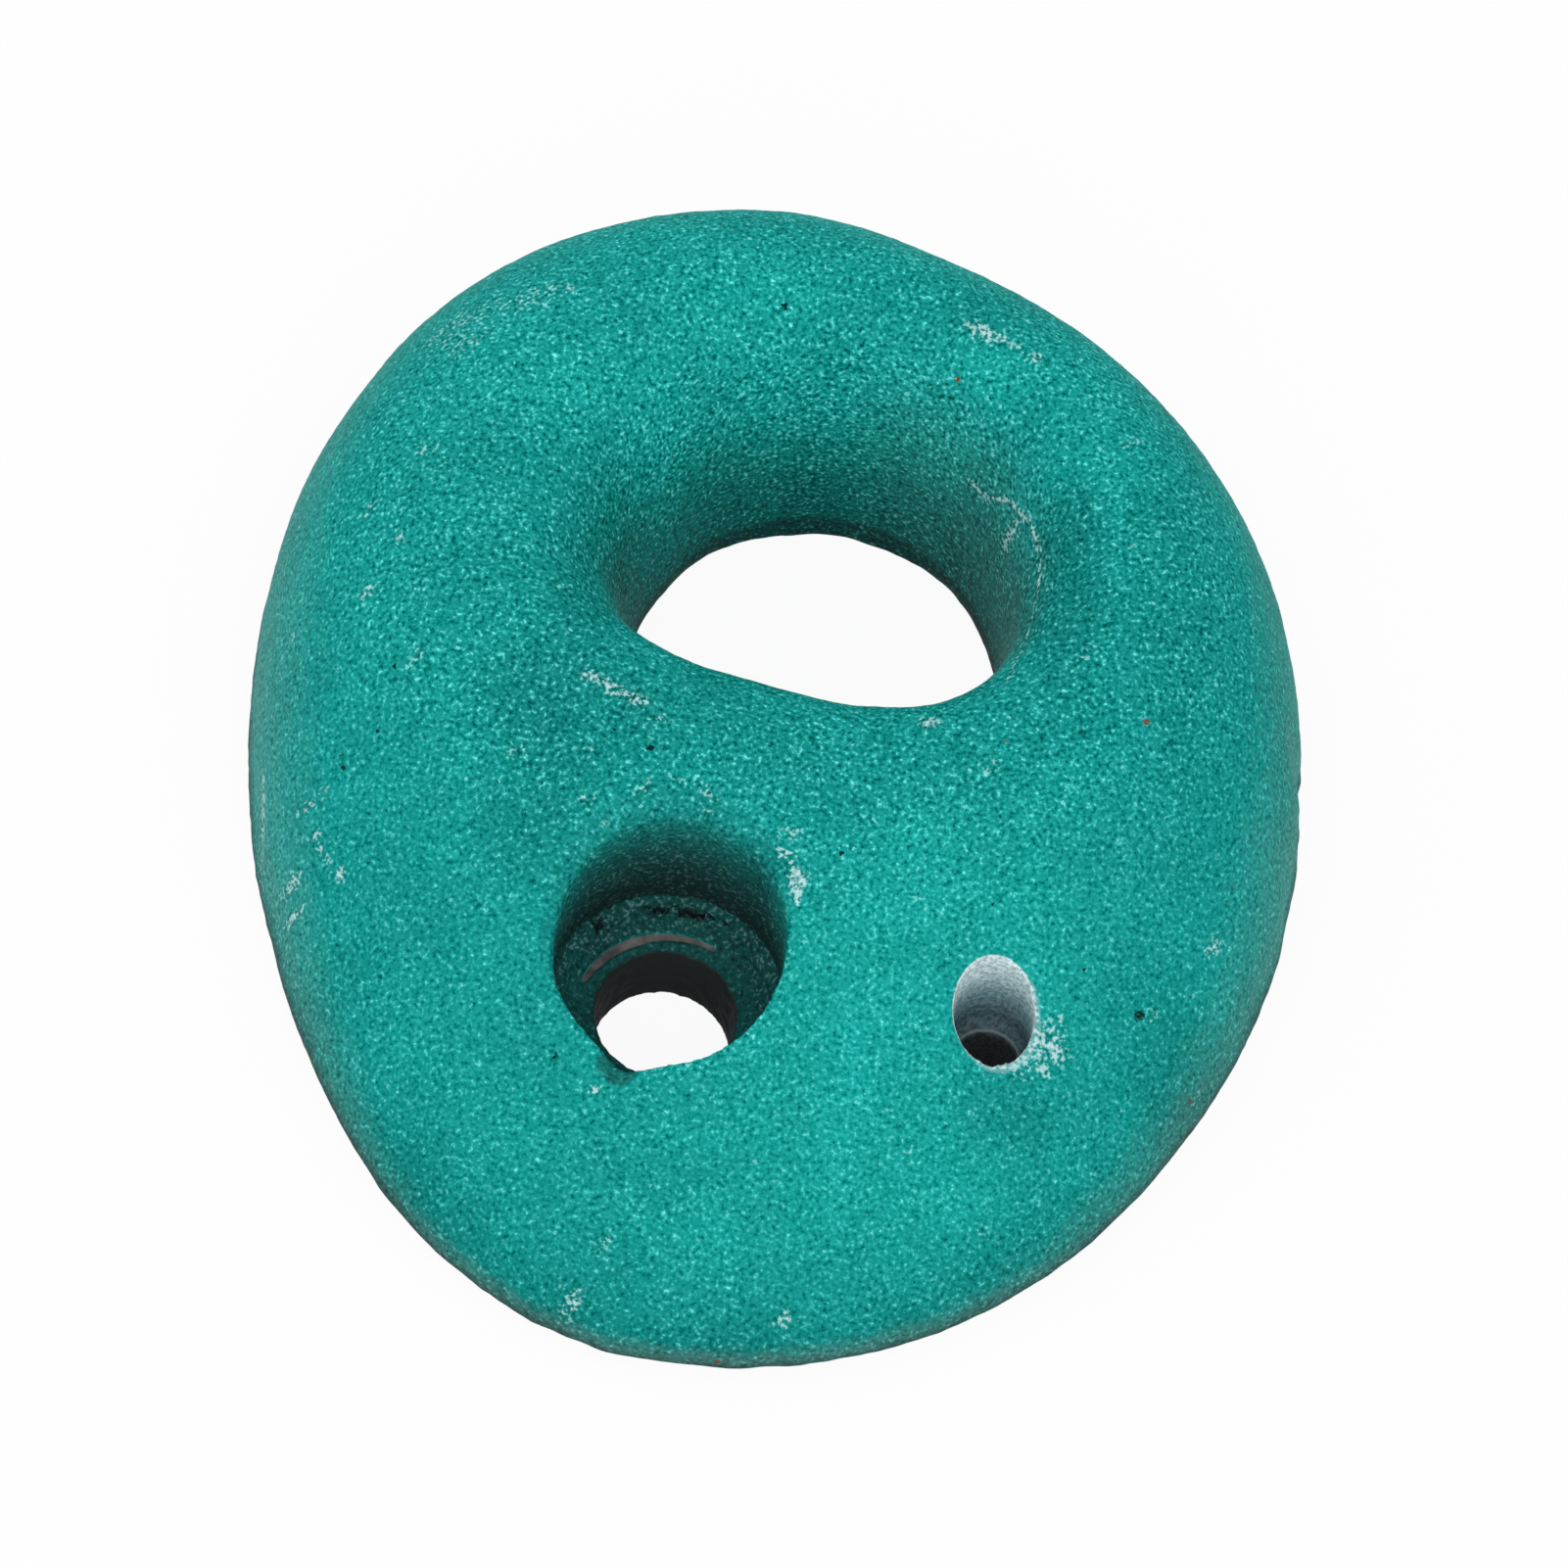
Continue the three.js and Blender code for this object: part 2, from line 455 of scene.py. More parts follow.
def outline_move(p, normal):
    from_opening = p.xy - opening_centre
    degrees = math.degrees(math.atan2(from_opening.y, from_opening.x))
    if faces_out(p, normal):
        lean = SIDE_LEAN * faces_aside(normal) * soft_step((p.z - LEAN_FROM) / LEAN_RISE)
        push = between(degrees, outer_push) - lean
    else:
        lean = between(degrees, lip_push) * soft_step(1 - p.z / LIP_TOP)
        push = -between(degrees, inner_push) - lean
    push *= soft_step((1 - abs(normal.z)) / STEEP_BAND)
    push *= soft_step((off_axis(p, bolt_axis) - BOLT_STILL) / FADE)
    push *= soft_step((off_axis(p, screw_axis / MM) - SCREW_STILL) / FADE)
    return from_opening.normalized().to_3d() * push


skin.normal_update()
furthest = 0
for vert in skin.verts:
    move = outline_move(vert.co / MM, vert.normal)
    furthest = max(furthest, move.length)
    vert.co += move * MM
print("pushed the sides by up to", round(furthest, 2), "mm")

# %% [markdown]
# ## Sandy grain
# Sand in the resin and a hand-made mould leave swells, lumps and grit. Every point is moved
# along its normal by noise of these three sizes, and a fourth roughens the bore's floor. A
# Displace modifier would do the same, but in code the back and the drilled hole can stay smooth.
# The nicks in the right edge are shallow round hollows.

# %% Add swells, lumps, grit and nicks
# Each noise: its height and its size in mm, and a shift that keeps it apart from the others
skin_noises = [(0.10, 8, (0, 0, 0)), (0.05, 2.3, (7, 3, 5)), (0.05, 0.85, (0, 0, 0))]
floor_noises = [*skin_noises, (0.14, 0.9, (2, 9, 4))]
FLOOR_SIDE = 9.8
FLOOR_TOP = 9.6
# Noise grows from nothing at the back to its full height here
EVEN_TOP = 1.5
BACK = 0.25 * MM
SCREW_SMOOTH = 3.9
# Nicks in the right edge: right, up, radius and depth
nicks = [(53.3, 30.5, 3.3, 0.6), (53.5, 26.2, 2.1, 0.17), (52.2, 19.6, 5.0, 0.2)]


def noise_height(p, noises):
    height = 0
    for rise, size, shift in noises:
        height += rise * noise.noise(p / size + Vector(shift))
    return height * min(1, p.z / EVEN_TOP)


def nick_depth(p):
    depth = 0
    for x, y, radius, deepest in nicks:
        away = math.hypot(p.x - x, p.y - y) / radius
        depth += deepest * max(0, 1 - away * away) ** 2
    return depth


for vert in skin.verts:
    p = vert.co / MM
    if vert.co.z < BACK or off_axis(p, screw_axis / MM) < SCREW_SMOOTH:
        continue
    on_floor = off_axis(p, bolt_axis) < FLOOR_SIDE and p.z < FLOOR_TOP
    height = noise_height(p, floor_noises if on_floor else skin_noises)
    vert.co += vert.normal * (height - nick_depth(p)) * MM
skin.to_mesh(casting.data)
skin.free()

# %% [markdown]
# ## Thinning
# So fine a skin has more triangles than it needs. Decimate merges the flattest ones first and
# keeps the grit, where a coarser remesh would lose it. Any point that has strayed past the
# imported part's box is put back on it.

# %% Thin the mesh and keep it inside the box
TRIANGLE_LIMIT = 188_000
triangles = sum(len(face.vertices) - 2 for face in casting.data.polygons)
thin = casting.modifiers.new("thin", "DECIMATE")
thin.ratio = min(1, TRIANGLE_LIMIT / triangles)
fix_modifiers(casting)
for vert in casting.data.vertices:
    for axis in range(3):
        vert.co[axis] = min(max(vert.co[axis], cad_low[axis]), cad_high[axis])

# %% [markdown]
# ## The steel's gap, the cracks and the pits
# In the bore's floor the skin of resin has broken away along a crescent, and the steel washer
# shows in it. Behind it the ledge has cracked, and a few small bubbles have opened. They are
# finer than the skin's squares, so they are cut last and keep crisp edges. The crescent and
# each crack are curved bars with tapered ends, whose two radii may change along the way. The
# bubbles are balls.

# %% Make a curved bar
BAR_STEPS = 30
# A bar's end has the root of this share of its width, and widens over this share of its length
END_SHARE = 0.4
END_LENGTH = 0.03


def curved_bar(name, start, end, inner, outer, bottom, top):
    """A bar about the bolt axis, from one angle to another. Inner and outer give radii in mm."""
    shape = bmesh.new()
    rings = []
    for index in range(BAR_STEPS + 1):
        share = index / BAR_STEPS
        angle = math.radians(start + (end - start) * share)
        near, far = inner(angle), outer(angle)
        nearest_end = min(share, 1 - share)
        width = (far - near) * math.sqrt(min(1, END_SHARE + nearest_end / END_LENGTH))
        middle = (far + near) / 2
        corners = [
            (middle - width / 2, bottom), (middle + width / 2, bottom),
            (middle + width / 2, top), (middle - width / 2, top),
        ]
        points = [Vector((r * math.cos(angle), r * math.sin(angle), z)) for r, z in corners]
        rings.append([shape.verts.new(point * MM) for point in points])
    for ring, following in zip(rings, rings[1:]):
        for corner in range(4):
            after = (corner + 1) % 4
            shape.faces.new((ring[corner], ring[after], following[after], following[corner]))
    shape.faces.new(rings[0])
    shape.faces.new(rings[-1])
    bmesh.ops.recalc_face_normals(shape, faces=shape.faces)
    return make_object(name, shape)


# %% Cut the crescent
# Its width, by the angle round the bolt
crescent_width = [
    (63, 0.66), (76, 0.74), (95, 0.86), (118, 0.97), (144, 0.88), (158, 0.68), (166, 0.45),
]
CRESCENT_START = 61
CRESCENT_END = 166
CRESCENT_OUTSIDE = 7.85
CRESCENT_BOTTOM = 6
CRESCENT_TOP = 9


def crescent_inside(angle):
    return CRESCENT_OUTSIDE - between(math.degrees(angle), crescent_width)


crescent = curved_bar(
    "gap", CRESCENT_START, CRESCENT_END, crescent_inside, lambda angle: CRESCENT_OUTSIDE,
    CRESCENT_BOTTOM, CRESCENT_TOP,
)
cut(casting, crescent)

# %% Cut the cracks and the pits
# Cracks: first and last angle, inner and outer radius, bottom
cracks = [
    (75, 90, 8.85, 9.55, 7.6),
    (95, 104, 8.9, 9.45, 7.8),
    (58, 109, 9.16, 9.38, 8.4),
    (132, 138, 9.1, 9.8, 7.8),
]
CRACK_TOP = 10
# Pits: centre and radius
pits = [
    ((-6.85, 6.9, 9.0), 0.6), ((5.9, 2.8, 6.75), 0.35), ((-8.6, -9.4, 13.9), 0.3),
    ((2.6, 59.2, 29.1), 0.45),
]


def wavy(radius, phase):
    """A radius that wanders with the angle, as the side of a crack does."""
    return lambda angle: radius + 0.09 * math.sin(angle * 43 + phase) + 0.05 * math.sin(angle * 101)


for number, (start, end, inner, outer, bottom) in enumerate(cracks):
    sides = wavy(inner, number), wavy(outer, number + 0.8)
    bar = curved_bar("crack_%d" % number, start, end, *sides, bottom, CRACK_TOP)
    cut(casting, bar)
for number, (centre, radius) in enumerate(pits):
    pit = bite("pit_%d" % number, Vector(centre) * MM, radius * MM)
    cut(casting, pit)
for face in casting.data.polygons:
    face.use_smooth = True
finished = sum(len(face.vertices) - 2 for face in casting.data.polygons)
print("triangles:", triangles, "thinned to", finished)

# %% [markdown]
# ## Marks that belong to places
# Chalk, scrapes and dirt sit where hands, boots and tools have been, so they are painted on the mesh as
# attributes: one soft number at every point. Painted light, shade and sheen are held the same way. The
# materials break the soft blobs up with fine noise. An image texture could hold them too, but
# attributes need no unwrapping.

# %% Where the chalk lies
# Each mark: right, up, half its length, half its width, its turn in degrees, and its strength
chalk_marks = [
    (20.3, 58.6, 2, 0.8, -18, 0.9), (22.9, 57.6, 1, 0.5, -20, 0.6), (25, 56.8, 0.8, 0.6, 0, 0.9),
    (-9.6, 20.6, 1.1, 0.6, -10, 0.85), (-7.6, 19.9, 1.2, 0.6, -25, 1), (-5.7, 19.3, 1.2, 0.6, -10, 1),
    (-3.6, 17.8, 1, 0.4, 10, 0.5), (-9, 14.4, 0.8, 0.5, 0, 0.5), (-1, 12.8, 1.2, 0.3, -10, 0.45),
    (-30.6, 36.2, 0.9, 0.5, 50, 0.65), (-27.7, 32.6, 0.9, 0.5, -40, 0.65),
    (-29.7, 28.1, 0.7, 0.6, 0, 0.8), (-24.5, 21.9, 0.9, 0.4, 60, 0.7),
    (-25.2, 55.7, 3.6, 1.8, 35, 0.43), (-19.5, 57.5, 3.2, 1.5, 20, 0.43),
    (-16.3, 58.2, 0.9, 0.5, 0, 0.65), (-26.4, 41.1, 1.1, 0.7, 0, 0.5), (-24, 52.8, 2, 1.1, 30, 0.5),
    (19.3, 21.3, 0.9, 0.7, 0, 1.1), (24.9, 17.6, 0.8, 0.6, 40, 0.55), (33.7, 49.5, 1.4, 0.35, 35, 0.6),
    (34.3, 39.3, 0.8, 0.5, 0, 0.45), (32, 28.6, 1.1, 0.5, 50, 0.5), (-15.1, 14, 0.8, 0.4, 0, 0.6),
    (-32.5, 12.2, 0.9, 0.4, 10, 0.8), (-31.2, 12.6, 0.3, 0.6, 0, 0.8), (-33.3, 6.9, 0.9, 0.8, 0, 0.9),
    (-32.6, 4.4, 0.8, 0.5, 0, 0.85), (-31.6, 9.6, 0.5, 0.5, 0, 0.9), (-30.6, 7.9, 1.3, 0.25, -55, 0.8),
    (-28.9, 6, 0.4, 0.7, 0, 0.95), (-36.9, 15.2, 3.2, 0.16, 98, 1), (-36.3, 10.6, 1.6, 0.2, 98, 0.6),
    (-36.2, 27.1, 0.8, 0.5, 60, 0.5), (-4, 11.8, 0.9, 0.4, 55, 0.75), (-8.6, 10.4, 0.9, 0.5, 0, 0.7),
    (1.5, 12.3, 1.1, 0.5, -25, 0.75), (1.8, 10.7, 0.5, 0.35, 0, 0.6), (41.3, 2.2, 0.6, 0.3, 70, 0.8),
    (20.1, 6.1, 0.4, 0.4, 0, 0.6), (-4.7, -27.4, 1.1, 0.7, 60, 0.75), (-2.7, -23.2, 0.8, 0.5, 50, 0.65),
    (-5, -11.8, 0.9, 0.3, -10, 0.9), (13.1, -26.8, 0.9, 0.7, 0, 0.7), (29.1, -17.8, 0.7, 0.4, 0, 0.5),
    (22.2, -13.5, 0.6, 0.4, 0, 0.45), (45.8, 9.4, 1.1, 0.5, 60, 0.7), (8.7, 9.8, 1.3, 0.6, 0, 0.6),
    (8.5, 8, 1.1, 0.5, -20, 0.85), (9.7, 6.2, 1.1, 0.9, -60, 1.1), (9.8, 4.8, 0.9, 0.5, -75, 0.95),
    (11.6, 4.3, 0.4, 0.3, 0, 0.7), (-7, 8.9, 0.5, 0.3, 0, 0.6), (31.6, -2.6, 1.6, 1.2, -35, 0.95),
    (32.9, -2.7, 1.7, 1.2, -30, 0.85), (32, -4.5, 1.8, 1, 5, 0.7), (33.3, -1, 1, 0.7, 20, 0.6),
    (30.3, -5.5, 1.4, 0.6, 0, 0.6),
]
# Chalk lines along the opening's crease: thickness, strength, then points as right, up and height
chalk_lines = [
    (0.5, 1.3, [
        (20.9, 50.0, 18.7), (22.4, 48.3, 19.0), (24.0, 46.9, 21.3), (26.1, 44.0, 22.8),
        (27.0, 41.4, 22.9), (27.5, 38.1, 22.4), (27.3, 37.1, 21.9),
    ]),
    (0.7, 0.6, [(27.3, 37.1, 21.9), (26.9, 32.7, 21.8), (26.0, 28.5, 23.4), (25.4, 25.8, 24.5)]),
    (1.2, 0.95, [(25.2, 44.8, 21.6), (24.8, 44.4, 19.7), (24.3, 44.4, 17.3)]),
]

# %% Where the broad tones and the painted shading lie
# The same six values, where a strength below zero is darker than the rest. The patches are partly the
# resin's own tone and partly painted light and shade
tone_and_shading_marks = [
    (-10.5, 17.2, 5.5, 3, -10, -0.16), (2, 18.3, 6.5, 2.2, -5, -0.08), (29.5, -8.6, 2.5, 1.8, 0, -0.18),
    (-13, 10, 3, 4, 0, -0.14), (45, -1.5, 3, 3.5, 0, -0.12), (15.5, 60.5, 5, 2.5, -10, -0.14),
    (17.5, -5, 13, 12, 0, 0.16), (-16, 55, 9, 6, 35, 0.10), (31, 12, 8, 6, 0, 0.02),
    (2, 60, 9, 4, 0, 0.10), (7.5, 18.5, 12, 4.5, 0, -0.08), (-37, 12, 2, 14, 0, 0.10),
    (29.5, 36, 2.2, 6, 0, -0.26), (36.5, 33, 3.5, 8, 0, -0.12), (-11, 33.5, 2.5, 4.5, 0, -0.18),
    (2, 53.5, 6, 2.4, 12, 0.16), (15.5, 55, 6, 2.4, -8, 0.16), (-5.5, 46.5, 3, 3, 0, 0.20),
    (43.4, 25, 3, 4, 0, -0.10), (1.1, -12.2, 3, 1.4, 0, -0.12), (-14, 56, 4, 3, 0, -0.10),
    (30, 23.5, 2.5, 2.5, 0, -0.17), (-16.5, -19, 3, 3, 0, -0.07), (-10.5, 25.5, 3, 3, 0, -0.15),
    (-15.8, 18.5, 3, 3, 0, -0.10), (-18.5, 29, 2.5, 5, 0, -0.08), (41, 2, 3, 4, 0, -0.10),
    (-27, -4, 2.5, 2.5, 0, -0.10), (28.7, 41.5, 2, 2.5, 0, -0.12), (7.5, 54.5, 2.2, 2, 0, -0.14),
    (-33, 41, 3, 3, 0, 0.08), (20.4, 54.5, 2.5, 2.5, 0, 0.10), (7.2, 7.8, 1.6, 1, -45, -0.28),
    (-8, 1.5, 0.8, 2, 0, 0.5), (-26, -8.5, 3.5, 3.5, 0, 0.06), (-12, -22.5, 4, 2, -35, 0.06),
    (16.5, -26.5, 3, 1.5, 0, 0.12), (2, -17.5, 3, 2, 0, -0.08), (34.5, -12, 3, 3, 0, -0.07),
]

# %% [markdown]
# ## Painting
# A mark is a soft ellipse, strongest in its middle, and a chalk line fades to both sides. A
# brush in vertex paint mode could put them on too, but could not be run again.

# %% How strong a mark is at a point


def mark_strengths(p, marks, spread):
    for x, y, length, width, degrees, power in marks:
        reach = spread * max(length, width)
        if abs(p.x - x) < reach and abs(p.y - y) < reach:
            turn = math.radians(degrees)
            along = (p.x - x) * math.cos(turn) + (p.y - y) * math.sin(turn)
            across = (p.y - y) * math.cos(turn) - (p.x - x) * math.sin(turn)
            away = math.hypot(along / length, across / width) / spread
            yield power * max(0, 1 - away * away)


def line_strength(p, thickness, power, points):
    nearest = thickness
    for a, b in zip(points, points[1:]):
        start, end = Vector(a), Vector(b)
        share = max(0, min(1, (p - start).dot(end - start) / (end - start).length_squared))
        nearest = min(nearest, (p - start.lerp(end, share)).length)
    return power * (1 - nearest / thickness)


# %% [markdown]
# ## Chalk, tone and painted shading
# Chalk takes the strongest mark at a point, and a thin film of chalk with painted glints clings to the
# bore's wall and ledge. Tones and painted shading add up. The opening's wall is painted darker the
# lower it is, a painted shade, as little light gets there.

# %% Chalk, and painted glints in the bore
CHALK_SPREAD = 1.45
LOWEST_MARK = 2.5
# The bore's wall ends at this radius. Its ledge begins at the other one, at this height
BORE_SIDE = 10.2
LEDGE_FROM = 8.9
LEDGE_HEIGHT = 9
LEDGE_BAND = 0.35
LEDGE_CHALK_AND_GLINTS = 0.4
# The wall's chalk with painted glints: strength, start below the rim, mm until it is full, and lowest
# height
WALL_CHALK_AND_GLINTS = 0.3
BELOW_RIM = 1
BORE_FLECK_RISE = 7
BORE_FLECK_BOTTOM = 7


def depth_in_bore(p):
    return rim_height[sector_of(p)] / MM - p.z


# In the bore the flecks are chalk with painted glints, along the ledge's edge and on the wall
def bore_chalk_and_glints(p):
    at_ledge_height = abs(p.z - LEDGE_HEIGHT) < LEDGE_BAND
    if at_ledge_height and off_axis(p, bolt_axis) > LEDGE_FROM:
        return LEDGE_CHALK_AND_GLINTS
    on_bore_wall = p.z > BORE_FLECK_BOTTOM
    return WALL_CHALK_AND_GLINTS * on_bore_wall * soft_step((depth_in_bore(p) - BELOW_RIM) / BORE_FLECK_RISE)


def chalk_and_glints_at(p, normal):
    if off_axis(p, bolt_axis) < BORE_SIDE and depth_in_bore(p) > BELOW_RIM:
        return bore_chalk_and_glints(p)
    if p.z < LOWEST_MARK:
        return 0
    lines = [line_strength(p, *line) for line in chalk_lines]
    return max(0, *lines, *mark_strengths(p, chalk_marks, CHALK_SPREAD))


# %% Tone and painted shading
SHADING_SPREAD = 2
BACK_TOP = 0.3
# Skin nearer to the bolt than this is never the opening's wall
ROUND_BORE = 13
# The low front is painted in its own shade: how much, up to which height, and over how many mm
FRONT_SHADE = 0.42
FRONT_TOP = 9.5
FRONT_RISE = 7
DARKEST = -0.85
# Skin is the opening's wall, and not its brim, once its normal rises less than this
BRIM_RISE = 0.75
BRIM_BAND = 0.4
# How much painted shade the opening's wall gets, by height, where it faces down and where it faces
# sideways
wall_shade = [
    (1.3, 0.72), (2.9, 0.62), (6, 0.54), (10, 0.42), (12.5, 0.27), (15.5, 0.12), (18, 0.02), (20, 0),
]
side_shade = [
    (1.3, 0.66), (3, 0.58), (6, 0.46), (9, 0.34), (12.5, 0.37), (17.5, 0.30), (20.5, 0.06), (22, 0),
]


def on_wall(normal):
    """0 on the opening's flat brim, 1 on its steep wall."""
    return soft_step((BRIM_RISE - normal.z) / BRIM_BAND)


# Tone patches add up, and the opening's wall and the low front get painted shade
def tone_and_shading_at(p, normal):
    if p.z < BACK_TOP:
        return 0
    tone_and_shading = sum(mark_strengths(p, tone_and_shading_marks, SHADING_SPREAD))
    if faces_out(p, normal) or off_axis(p, bolt_axis) < ROUND_BORE:
        low_front = max(0, -normal.y) * soft_step((FRONT_TOP - p.z) / FRONT_RISE)
        return tone_and_shading - FRONT_SHADE * low_front
    aside = max(0, 1.6 * faces_aside(normal) - 0.6)
    shade = (1 - aside) * between(p.z, wall_shade) + aside * between(p.z, side_shade)
    return max(DARKEST, tone_and_shading - shade * on_wall(normal))


# %% [markdown]
# ## Dirt and painted shade
# The bore is darker the deeper it lies below its rim: some dirt that bolts and keys have left, and
# painted shade in the hollow, darkest in its cracks and dent. The foot of the edge gets a painted
# shadow too, which stands higher on the sides than at the front.

# %% Dirt and painted shade in the bolt bore
# How dark the bore's wall is painted, by the depth below its rim: dirt with painted shade
wall_dirt_and_shade = [(0, 0), (1.5, 0.22), (3, 0.41), (6, 0.67), (9, 0.815), (12.5, 0.93)]
LEDGE_DIRT_AND_SHADE = 0.75
FLOOR_DIRT_AND_SHADE = 0.76
CRACK_SHADE = 0.97
DENT_SHADE = 0.5
DENT_REACH = 1.1
# The bore's dirt and painted shade begin above this height and end at this radius, further out on the
# far side
DARKENING_BOTTOM = 6.2
DARKENING_SIDE = 10.1
FAR_DARKENING_SIDE = 2.4
FAR_DEPTH = 1.3
# A crack's painted shade reaches this far beyond its sides, below this height
CRACK_MARGIN = 0.15
CRACK_SHADE_TOP = 8.75
LEDGE_BOTTOM = 8.7
LEDGE_TOP = 9.5


def in_a_crack(p):
    degrees = math.degrees(math.atan2(p.y, p.x))
    from_axis = off_axis(p, bolt_axis)
    return p.z < CRACK_SHADE_TOP and any(
        start < degrees < end and inner - CRACK_MARGIN < from_axis < outer + CRACK_MARGIN
        for start, end, inner, outer, bottom in cracks
    )


def bore_dirt_and_shade(p):
    """Dirt and painted shade in the bolt bore, or nothing for a point outside it."""
    if (p * MM - dent_centre).length < dent_radius * DENT_REACH:
        return DENT_SHADE
    if p.z < DARKENING_BOTTOM or off_axis(p, bolt_axis) > DARKENING_SIDE + FAR_DARKENING_SIDE * far_side(p):
        return None
    if in_a_crack(p):
        return CRACK_SHADE
    if p.z < LEDGE_BOTTOM:
        return FLOOR_DIRT_AND_SHADE
    if p.z < LEDGE_TOP:
        return LEDGE_DIRT_AND_SHADE
    return between(depth_in_bore(p) + FAR_DEPTH * far_side(p), wall_dirt_and_shade)


# %% Painted shadow at the foot
# In the opening, a painted shadow at the wall's foot: strength, height and the width of its soft upper
# edge
OPENING_SHADOW = 0.55
OPENING_FOOT = 3.8
OPENING_FADE = 0.9
# Outside, a painted shadow: height and strength at the front, and how much more of each on the sides
FOOT_HEIGHT = 2.6
SIDE_HEIGHT = 3
FOOT_SHADOW = 0.64
SIDE_SHADOW = 0.16
FAR_FACING_LESS = 0.25
FOOT_FADE = 2
# A side's normal rises less than this
SIDE_RISE = 0.5


def dirt_and_shade_at(p, normal):
    in_bore = bore_dirt_and_shade(p)
    if in_bore is not None:
        return in_bore
    if p.z < BACK_TOP:
        return 0
    if not faces_out(p, normal):
        return OPENING_SHADOW * soft_step((OPENING_FOOT - p.z) / OPENING_FADE)
    aside = 1 - max(0, -normal.y) if normal.z < SIDE_RISE else 0
    foot_top = FOOT_HEIGHT + SIDE_HEIGHT * aside
    # Fine bites in its upper edge all round, and wide ones on the sides
    foot_top += 0.5 * noise.noise(p / 1.5) + 0.8 * aside * noise.noise(p / 6)
    strength = FOOT_SHADOW + SIDE_SHADOW * aside - FAR_FACING_LESS * max(0, normal.y)
    return strength * soft_step((foot_top - p.z) / (FOOT_FADE + FOOT_FADE * aside))


# %% [markdown]
# ## Dust and sheen, and calm
# Dust and sheen is a grey film on the steep outer sides, and more faintly on part of the opening's
# wall: partly fine dust, partly a painted sheen for the grey light that steep skin reflects. Calm says
# how flat the grain looks: flatter on the outer slopes, where dust fills it, and bolder on the
# opening's wall.

# %% Dust and sheen, and calm
SCREW_CLEAN = 5
OPENING_DUST_AND_SHEEN = 0.4
# Dust and sheen begins where a normal rises less than this, and is full after so much more
DUST_AND_SHEEN_RISE = 0.65
DUST_AND_SHEEN_BAND = 0.5
# The grain is calm on the outside from this height down, over so many mm
CALM_FROM = 25
CALM_RISE = 7


def dust_and_sheen_at(p, normal):
    in_a_hole = off_axis(p, bolt_axis) < ROUND_BORE or off_axis(p, screw_axis / MM) < SCREW_CLEAN
    if in_a_hole or p.z < BACK_TOP:
        return 0
    steep = max(0, min(1, (DUST_AND_SHEEN_RISE - normal.z) / DUST_AND_SHEEN_BAND))
    return steep if faces_out(p, normal) else OPENING_DUST_AND_SHEEN * steep * max(0, -normal.x)


def calm_at(p, normal):
    if off_axis(p, bolt_axis) < BORE_SIDE:
        return 0
    if faces_out(p, normal):
        return soft_step((CALM_FROM - p.z) / CALM_RISE)
    return -on_wall(normal)


# %% Paint the five attributes


def paint(mesh, name, rule):
    layer = mesh.attributes.new(name, "FLOAT", "POINT")
    values = [rule(vert.co / MM, vert.normal) for vert in mesh.vertices]
    layer.data.foreach_set("value", values)
    print("painted", name, "on", sum(abs(v) > 0.05 for v in values), "of", len(values), "points")


paint(casting.data, "chalk_and_glints", chalk_and_glints_at)
paint(casting.data, "tone_and_shading", tone_and_shading_at)
paint(casting.data, "dirt_and_shade", dirt_and_shade_at)
paint(casting.data, "dust_and_sheen", dust_and_sheen_at)
paint(casting.data, "calm", calm_at)

# %% [markdown]
# ## Helpers for materials
# Materials are networks of nodes. These helpers add one node each and hand back its output, so
# that a material reads like a recipe.

# %% Add nodes by short names


def new_material(name):
    material = bpy.data.materials.new(name)
    material.use_nodes = True
    return material, material.node_tree, material.node_tree.nodes["Principled BSDF"]


def add_node(tree, kind, inputs=(), output=0, **settings):
    node = tree.nodes.new("ShaderNode" + kind)
    for name, value in settings.items():
        setattr(node, name, value)
    for socket, value in dict(inputs).items():
        if isinstance(value, bpy.types.NodeSocket):
            tree.links.new(value, node.inputs[socket])
        else:
            node.inputs[socket].default_value = value
    return node.outputs[output]


def object_place(tree):
    return add_node(tree, "TexCoord", output="Object")


def painted(tree, name):
    return add_node(tree, "Attribute", output="Fac", attribute_name=name)


def speckle(tree, place, scale, detail=2.0, roughness=0.5, distortion=0.0):
    values = {
        "Vector": place, "Scale": scale, "Detail": detail,
        "Roughness": roughness, "Distortion": distortion,
    }
    return add_node(tree, "TexNoise", values, output="Fac")


def remap(tree, value, low, high, to_low=0.0, to_high=1.0):
    values = {
        "Value": value, "From Min": low, "From Max": high, "To Min": to_low, "To Max": to_high,
    }
    return add_node(tree, "MapRange", values)


def combine_values(tree, operation, a, b):
    return add_node(tree, "Math", {0: a, 1: b}, operation=operation)


def mix_colours(tree, amount, under, over, blend="MIX"):
    values = {0: amount, 6: under, 7: over}
    return add_node(tree, "Mix", values, output=2, data_type="RGBA", blend_type=blend)


def colour_stops(tree, value, stops):
    ramp = tree.nodes.new("ShaderNodeValToRGB")
    tree.links.new(value, ramp.inputs["Fac"])
    elements = ramp.color_ramp.elements
    while len(elements) < len(stops):
        elements.new(0.5)
    for element, (position, colour) in zip(elements, stops):
        element.position = position
        element.color = (*colour, 1)
    return ramp.outputs["Color"]


# %% [markdown]
# ## The resin
# The colour of sand-filled resin comes from thousands of grains: most are wet with teal, some face the
# light and glint, and here and there a grain has fallen out and left a dark pit. Fine noise run through
# a colour ramp gives that spread: its glints are painted highlights and its pits painted shade. The
# same noise drives the bump, so the bright grains also stand proud. The calm attribute stretches or
# flattens the noise first.

